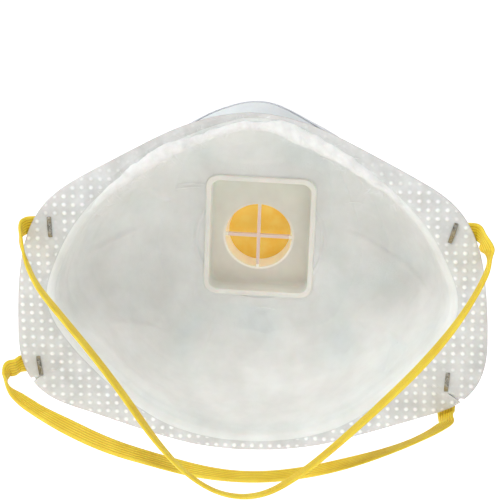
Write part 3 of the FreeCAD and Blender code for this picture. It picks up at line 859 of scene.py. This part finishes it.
class Shader:
    """A material with a Principled surface and helpers for its nodes."""

    def __init__(self, name, **inputs):
        self.material = bpy.data.materials.new(name)
        self.material.use_nodes = True
        self.tree = self.material.node_tree
        self.surface = self.tree.nodes["Principled BSDF"]
        self.place = self.add("ShaderNodeTexCoord").outputs["Object"]
        for key, value in inputs.items():
            self.surface.inputs[key.replace("_", " ")].default_value = value

    def add(self, kind, links=(), **values):
        node = self.tree.nodes.new(kind)
        for key, value in values.items():
            setattr(node, key, value)
        for name, source in dict(links).items():
            if isinstance(source, bpy.types.NodeSocket):
                self.tree.links.new(source, node.inputs[name])
            else:
                node.inputs[name].default_value = source
        return node

    def noise(self, size, detail=4.0, roughness=0.55, distortion=0.0, stretch=None):
        """Noise with features of about the given size in metres."""
        place = self.place
        if stretch:
            place = self.add("ShaderNodeMapping", {"Vector": place, "Scale": stretch}).outputs[0]
        return self.add("ShaderNodeTexNoise", {"Vector": place, "Scale": 1 / size,
                                               "Detail": detail, "Roughness": roughness,
                                               "Distortion": distortion}).outputs["Fac"]

    def ramp(self, source, low, high, dark, light):
        """A colour that runs from dark to light as source runs from low to high."""
        node = self.add("ShaderNodeValToRGB", {"Fac": source})
        node.color_ramp.elements[0].position = low
        node.color_ramp.elements[0].color = dark
        node.color_ramp.elements[1].position = high
        node.color_ramp.elements[1].color = light
        return node.outputs["Color"]

    def mix(self, factor, first, second):
        node = self.add("ShaderNodeMix", data_type="RGBA")
        for name, source in (("Factor", factor), ("A", first), ("B", second)):
            socket = [s for s in node.inputs if s.name == name and s.enabled][0]
            if isinstance(source, bpy.types.NodeSocket):
                self.tree.links.new(source, socket)
            else:
                socket.default_value = source
        return [s for s in node.outputs if s.enabled][0]

    def maths(self, operation, first, second):
        node = self.add("ShaderNodeMath", operation=operation)
        for i, source in enumerate((first, second)):
            if isinstance(source, bpy.types.NodeSocket):
                self.tree.links.new(source, node.inputs[i])
            else:
                node.inputs[i].default_value = source
        return node.outputs[0]

    def bump(self, height, distance, strength=1.0, under=None):
        links = {"Height": height, "Distance": distance, "Strength": strength}
        if under:
            links["Normal"] = under
        return self.add("ShaderNodeBump", links).outputs["Normal"]

    def drive(self, **sources):
        for key, source in sources.items():
            self.tree.links.new(source, self.surface.inputs[key.replace("_", " ")])
        return self.material


def nonwoven(name, light, dark, cloud, relief, dots=False):
    """A soft non-woven web: cloudy colour, fine tangled fibres and a matt nap."""
    shader = Shader(name, Roughness=0.92, Sheen_Weight=0.18, Sheen_Roughness=0.5,
                    Subsurface_Weight=0.12, Subsurface_Scale=0.002, Specular_IOR_Level=0.25)
    clouds = shader.noise(cloud, 3.0, 0.6)
    fibres = shader.noise(0.55 * MM, 8.0, 0.72, 1.4)
    strands = shader.noise(0.9 * MM, 6.0, 0.7, 2.5, (1.0, 1.0, 0.35))
    colour = shader.ramp(clouds, 0.3, 0.7, dark, light)
    colour = shader.mix(shader.maths("MULTIPLY", strands, 0.16), colour, dark)
    if dots:
        raised = shader.add("ShaderNodeAttribute", attribute_name="dot").outputs["Fac"]
        fused = shader.add("ShaderNodeMapRange", {"Value": raised, "From Min": 0.1,
                                                  "From Max": 0.75}).outputs["Result"]
        colour = shader.mix(fused, colour, srgb(250, 250, 249))
        shader.drive(Roughness=shader.ramp(fused, 0.0, 1.0, (0.92,) * 3 + (1,), (0.6,) * 3 + (1,)))
    soft = shader.bump(strands, relief)
    return shader.drive(Base_Color=colour, Normal=shader.bump(fibres, relief * 0.6, 0.8, soft))


def band_rubber():
    shader = Shader("band_rubber", Roughness=0.48, Subsurface_Weight=0.15,
                    Subsurface_Scale=0.002, Specular_IOR_Level=0.45)
    cloud = shader.noise(7 * MM, 3.0)
    dust = shader.noise(0.5 * MM, 5.0, 0.7)
    colour = shader.ramp(cloud, 0.3, 0.7, srgb(228, 198, 42), srgb(242, 218, 64))
    colour = shader.mix(shader.ramp(dust, 0.55, 0.8, (0,) * 4, (0.3,) * 4), colour,
                        srgb(252, 238, 140))
    groove = shader.add("ShaderNodeAttribute", attribute_name="groove").outputs["Fac"]
    # painted shade: the grooves between the ribs are mixed towards dark amber
    colour = shader.mix(groove, colour, srgb(192, 148, 22))
    return shader.drive(Base_Color=colour, Normal=shader.bump(dust, 0.05 * MM, 0.6))


def diaphragm_rubber():
    shader = Shader("diaphragm_rubber", Roughness=0.42, Subsurface_Weight=0.2,
                    Subsurface_Scale=0.002)
    cloud = shader.noise(5 * MM, 2.0)
    colour = shader.ramp(cloud, 0.3, 0.7, srgb(250, 194, 56), srgb(254, 212, 100))
    # painted light: the flap glows faintly in its own colours, which lifts it out of the shade of
    # the port
    shader.surface.inputs["Emission Strength"].default_value = 0.07
    shader.drive(Emission_Color=colour)
    fine = shader.noise(0.3 * MM, 4.0)
    return shader.drive(Base_Color=colour, Normal=shader.bump(fine, 0.03 * MM, 0.5))


def seat_plastic():
    """Translucent natural polypropylene with painted light and shade: the floor greyish as painted
    shade in the tray, the free lips cream, the port's wall cream as painted light with a painted
    highlight ring below the port, and the spokes pinkish grey as painted shade tinted by light
    through the rubber behind them. The whole seat glows faintly as painted light."""
    shader = Shader("seat_plastic", Roughness=0.36, Subsurface_Weight=0.4,
                    Subsurface_Scale=0.004, IOR=1.49)
    place = shader.add("ShaderNodeSeparateXYZ", {"Vector": shader.place}).outputs
    aside = shader.maths("SUBTRACT", place["X"], PORT_X)
    above = shader.maths("SUBTRACT", place["Z"], PORT_Z)
    square = shader.maths("ADD", shader.maths("MULTIPLY", aside, aside),
                          shader.maths("MULTIPLY", above, above))
    away = shader.maths("SQRT", square, 0.0)
    lip = shader.add("ShaderNodeMapRange", {"Value": place["Y"], "From Min": SEAT_FLOOR[0],
                                            "From Max": SEAT_FLOOR[1]}).outputs["Result"]
    ring = shader.add("ShaderNodeMapRange", {"Value": away, "From Min": PORT_RING[0],
                                             "From Max": PORT_RING[1]}).outputs["Result"]
    cloud = shader.noise(9 * MM, 3.0)
    # painted shade: the tray's floor is painted greyer than its lips
    shaded_floor = shader.ramp(cloud, 0.3, 0.7, srgb(204, 203, 191), srgb(213, 212, 200))
    cream = shader.ramp(cloud, 0.3, 0.7, srgb(212, 212, 205), srgb(224, 224, 217))
    # painted highlight: the ring round the port is painted bright only below the port
    lower_highlight = shader.add("ShaderNodeMapRange", {"Value": above, "From Min": RING_HIGHLIGHT_FADE[0],
                                                 "From Max": RING_HIGHLIGHT_FADE[1]}).outputs["Result"]
    colour = shader.mix(lip, shaded_floor, cream)
    colour = shader.mix(shader.maths("MULTIPLY", ring, lower_highlight), colour, srgb(238, 235, 222))
    # painted light: the port's wall is painted cream where it is lit
    bore_light = shader.maths("MULTIPLY", ring, shader.maths("LESS_THAN", place["Y"], PORT_FRONT))
    colour = shader.mix(bore_light, colour, srgb(252, 242, 222))
    # painted shade: the spokes are painted pinkish grey, tinted by light through the rubber behind
    # them
    colour = shader.mix(shader.maths("LESS_THAN", away, SPOKE_SHADE_REACH), colour,
                        srgb(214, 198, 188))
    ripple = shader.noise(2.5 * MM, 3.0)
    # painted light: the whole seat glows faintly in its own colours, which lifts the shade in the
    # tray
    shader.surface.inputs["Emission Strength"].default_value = 0.15
    shader.drive(Emission_Color=colour)
    return shader.drive(Base_Color=colour, Normal=shader.bump(ripple, 0.08 * MM, 0.5))


def cover_plastic():
    """White moulded plastic with a fine spark-eroded grain."""
    shader = Shader("cover_plastic", Roughness=0.5, Subsurface_Weight=0.1,
                    Subsurface_Scale=0.002)
    grain = shader.noise(0.25 * MM, 4.0, 0.6)
    cloud = shader.noise(12 * MM, 2.0)
    colour = shader.ramp(cloud, 0.3, 0.7, srgb(236, 237, 236), srgb(244, 245, 244))
    rough = shader.ramp(grain, 0.3, 0.7, (0.42,) * 3 + (1,), (0.6,) * 3 + (1,))
    return shader.drive(Base_Color=colour, Roughness=rough,
                        Normal=shader.bump(grain, 0.04 * MM, 0.7))


def staple_steel():
    """Galvanised wire with a brassy tint and darker scuffs."""
    shader = Shader("staple_steel", Metallic=0.85, Roughness=0.42)
    scuffs = shader.noise(0.8 * MM, 6.0, 0.7, 1.0)
    tint = shader.noise(3.0 * MM, 2.0)
    colour = shader.ramp(scuffs, 0.35, 0.6, srgb(82, 80, 74), srgb(168, 166, 158))
    colour = shader.mix(shader.ramp(tint, 0.45, 0.65, (0,) * 4, (0.7,) * 4), colour,
                        srgb(150, 132, 84))
    rough = shader.ramp(scuffs, 0.3, 0.7, (0.55,) * 3 + (1,), (0.3,) * 3 + (1,))
    return shader.drive(Base_Color=colour, Roughness=rough,
                        Normal=shader.bump(scuffs, 0.05 * MM, 0.6))


def clip_enamel():
    """Soft metal strip enamelled white, with a drawn grain and dull scuffs."""
    shader = Shader("clip_enamel", Roughness=0.5, Specular_IOR_Level=0.4)
    drawn = shader.noise(0.6 * MM, 5.0, 0.6, 0.0, (0.08, 1.0, 1.0))
    colour = shader.ramp(drawn, 0.3, 0.7, srgb(228, 231, 236), srgb(240, 242, 246))
    rough = shader.ramp(drawn, 0.3, 0.7, (0.42,) * 3 + (1,), (0.6,) * 3 + (1,))
    return shader.drive(Base_Color=colour, Roughness=rough,
                        Normal=shader.bump(drawn, 0.03 * MM, 0.6))


def hot_melt():
    shader = Shader("hot_melt", Roughness=0.4, Subsurface_Weight=0.3, Subsurface_Scale=0.002)
    blots = shader.noise(1.5 * MM, 4.0)
    colour = shader.ramp(blots, 0.35, 0.65, srgb(234, 234, 230), srgb(242, 243, 243))
    return shader.drive(Base_Color=colour, Normal=shader.bump(blots, 0.08 * MM, 0.6))


def finish(piece, material, body=None, stands_for=()):
    """Gives a piece its material, its body and the CAD nodes it stands for."""
    piece.data.materials.clear()
    piece.data.materials.append(material)
    if stands_for:
        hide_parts(*stands_for)
    if body:
        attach(piece, body)
    return piece


# ---------------------------------------------------------------- stage
def floor():
    below = -0.17
    piece = new_piece("floor", [(-3, -3, below), (3, -3, below), (3, 3, below), (-3, 3, below)],
                      [(0, 1, 2, 3)], smooth=False)
    shader = Shader("floor_paint", Roughness=0.9, Emission_Strength=0.55)
    shader.surface.inputs["Emission Color"].default_value = (1, 1, 1, 1)
    cloud = shader.noise(0.4, 2.0)
    colour = shader.ramp(cloud, 0.3, 0.7, srgb(246, 246, 247), srgb(252, 252, 252))
    piece.data.materials.append(shader.drive(Base_Color=colour))


def area_light(name, place, aim, size, power, colour=(1, 1, 1)):
    data = bpy.data.lights.new(name, "AREA")
    data.shape, data.size, data.energy, data.color = "DISK", size, power, colour
    lamp = bpy.data.objects.new(name, data)
    lamp.location = place
    lamp.rotation_euler = (Vector(aim) - Vector(place)).to_track_quat("-Z", "Y").to_euler()
    bpy.context.scene.collection.objects.link(lamp)


def studio():
    world = bpy.data.worlds.new("studio")
    world.use_nodes = True
    world.node_tree.nodes["Background"].inputs["Color"].default_value = (1.0, 0.995, 0.985, 1)
    world.node_tree.nodes["Background"].inputs["Strength"].default_value = 0.42
    bpy.context.scene.world = world
    bpy.context.scene.view_settings.view_transform = "Standard"
    area_light("overhead", (0.15, 0.35, 0.75), (0, 0, 0), 0.4, 3.6)
    area_light("face_fill", (-0.5, 0.9, 0.15), (0, 0, 0), 0.7, 0.8)
    area_light("front_fill", (0.4, -0.9, 0.5), (0, 0, 0), 0.6, 2.0)
    area_light("side_fill", (0.9, 0.28, 0.1), (0, 0, 0), 0.3, 1.2)


def camera():
    back = view_back()
    right = (-back).cross(Vector((0, 0, 1))).normalized()
    up = right.cross(-back)
    tilted_right = right * math.cos(CAMERA_ROLL) + up * math.sin(CAMERA_ROLL)
    tilted_up = up * math.cos(CAMERA_ROLL) - right * math.sin(CAMERA_ROLL)
    place = CAMERA_AIM + back * CAMERA_DISTANCE
    data = bpy.data.cameras.new("camera")
    data.lens, data.sensor_width = CAMERA_LENS, 36.0
    data.clip_start = 0.01
    holder = bpy.data.objects.new("camera", data)
    axes = Matrix((tilted_right, tilted_up, back)).transposed()
    holder.matrix_world = Matrix.Translation(place) @ axes.to_4x4()
    bpy.context.scene.collection.objects.link(holder)
    bpy.context.scene.camera = holder


# ---------------------------------------------------------------- the mask
camera()
studio()
floor()

band = band_rubber()
upper = headband("upper_band", UPPER_LEFT_END, UPPER_LOOP, UPPER_RIGHT_END,
                 [(0, 0, 1), (0, 0, 1)], UPPER_LEAN, 0.0,
                 ["upper_headband", "upper_headband_ends"])
lower = headband("lower_band", LOWER_LEFT_END, LOWER_LOOP, LOWER_RIGHT_END,
                 [(0, 0, 1), (1, 0, 0)], LOWER_LEAN, 9 * MM,
                 ["lower_headband", "lower_headband_ends"])
for piece in (upper, lower):
    finish(piece, band)

finish(flange_web(), nonwoven("shell_web", srgb(224, 224, 223), srgb(202, 202, 200), 6 * MM,
                              0.10 * MM, dots=True),
       "mask", ["stiffening_shell"])
finish(outer_cover(), nonwoven("cover_web", srgb(238, 239, 240), srgb(224, 226, 229), 9 * MM,
                               0.08 * MM, dots=True),
       "mask", ["outer_cover"])
finish(inner_liner(), nonwoven("liner_web", srgb(240, 240, 238), srgb(226, 226, 223), 12 * MM,
                               0.14 * MM),
       "mask", ["inner_liner"])
foam = finish(nose_foam(), nonwoven("foam", srgb(244, 244, 242), srgb(230, 230, 228), 4 * MM,
                                    0.2 * MM),
              "mask", ["nose_foam"])
finish(loose_fibres(), nonwoven("fibre", srgb(246, 246, 245), srgb(236, 236, 234), 4 * MM,
                                0.02 * MM), "mask")
finish(NODES["filter_layer"], nonwoven("filter_web", srgb(242, 242, 240), srgb(230, 230, 228),
                                       5 * MM, 0.1 * MM))

steel = staple_steel()
for node, lean in zip(STAPLES, (2, -17, 7, -5)):
    finish(staple(node, math.radians(lean)), steel, "mask", [node])
finish(nose_strip("nose_clip", *CLIP_STRIP), clip_enamel(), "mask", ["nose_clip"])
finish(nose_strip("nose_clip_adhesive", *GLUE_STRIP), hot_melt(), "mask",
       ["nose_clip_adhesive"])

finish(valve_flap(), diaphragm_rubber())
finish(NODES["valve_seat"], seat_plastic())
finish(NODES["valve_cover"], cover_plastic())
